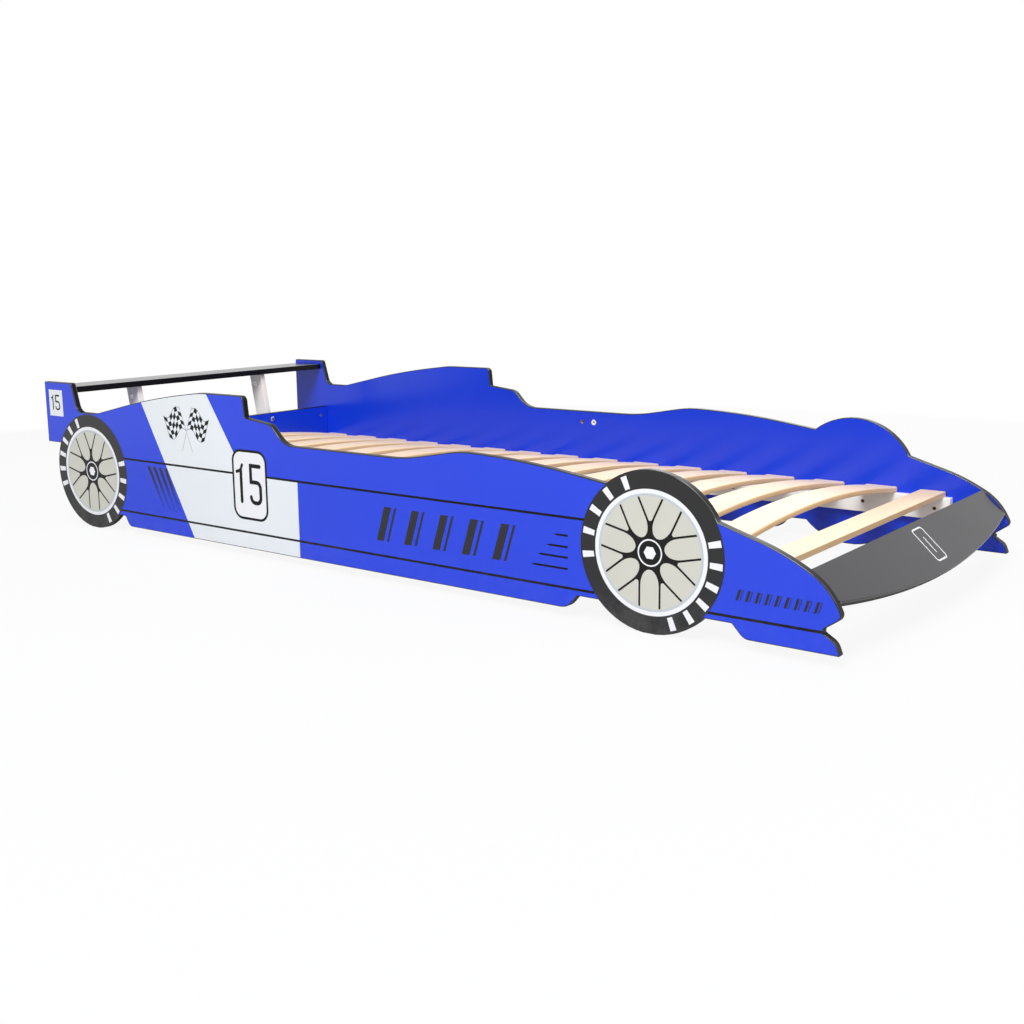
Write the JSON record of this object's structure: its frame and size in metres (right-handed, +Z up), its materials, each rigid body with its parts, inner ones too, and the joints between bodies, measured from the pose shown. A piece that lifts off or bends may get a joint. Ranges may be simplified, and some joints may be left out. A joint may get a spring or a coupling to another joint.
{
  "type": "car bed for children",
  "caption": "Low single bed for a child with side boards shaped like an open racing car, a rear wing, a sloping nose board and a sprung slat deck.",
  "frame": {"origin": "on the floor, under the middle of the overall length and width", "axes": "+X towards the nose (the foot end), +Y towards the car's left side, +Z up"},
  "size_m": [2.2731, 0.94, 0.38],
  "materials": {
    "board_blue": "blue satin foil on MDF, black edges",
    "board_black": "gloss black lacquer on MDF",
    "board_grey": "satin grey foil on MDF, black edges",
    "wood_white": "white paint on solid wood",
    "slat_birch": "raw laminated birch",
    "foot_birch": "raw laminated birch",
    "dowel_beech": "raw fluted beech",
    "fitting_zinc": "bright zinc",
    "screw_dark": "dark bronze",
    "sleeve_white": "moulded"
  },
  "bodies": {
    "root": {"right_side_board": "board_blue", "left_side_board": "board_blue", "headboard": "board_blue", "rear_wing": "board_black", "right_wing_strut": "wood_white", "left_wing_strut": "wood_white", "nose_board": "board_grey", "right_side_rail": "wood_white", "left_side_rail": "wood_white", "foot_slat": "foot_birch", "slat_01": "slat_birch", "slat_02": "slat_birch", "slat_03": "slat_birch", "slat_04": "slat_birch", "slat_05": "slat_birch", "slat_06": "slat_birch", "slat_07": "slat_birch", "slat_08": "slat_birch", "slat_09": "slat_birch", "slat_10": "slat_birch", "slat_11": "slat_birch", "slat_12": "slat_birch", "slat_13": "slat_birch", "slat_14": "slat_birch", "slat_15": "slat_birch", "rail_screws": "screw_dark", "headboard_cams": "fitting_zinc", "headboard_cam_bolts": "fitting_zinc", "headboard_dowels": "dowel_beech", "wing_cams": "fitting_zinc", "wing_cam_bolts": "fitting_zinc", "wing_dowels": "dowel_beech", "strut_cams": "fitting_zinc", "strut_cam_bolts": "fitting_zinc", "strut_dowels": "dowel_beech", "strut_bolts": "fitting_zinc", "strut_barrel_nuts": "fitting_zinc", "nose_cams": "fitting_zinc", "nose_cam_bolts": "fitting_zinc", "nose_dowels": "dowel_beech", "side_sleeves": "sleeve_white"}
  },
  "joints": []
}
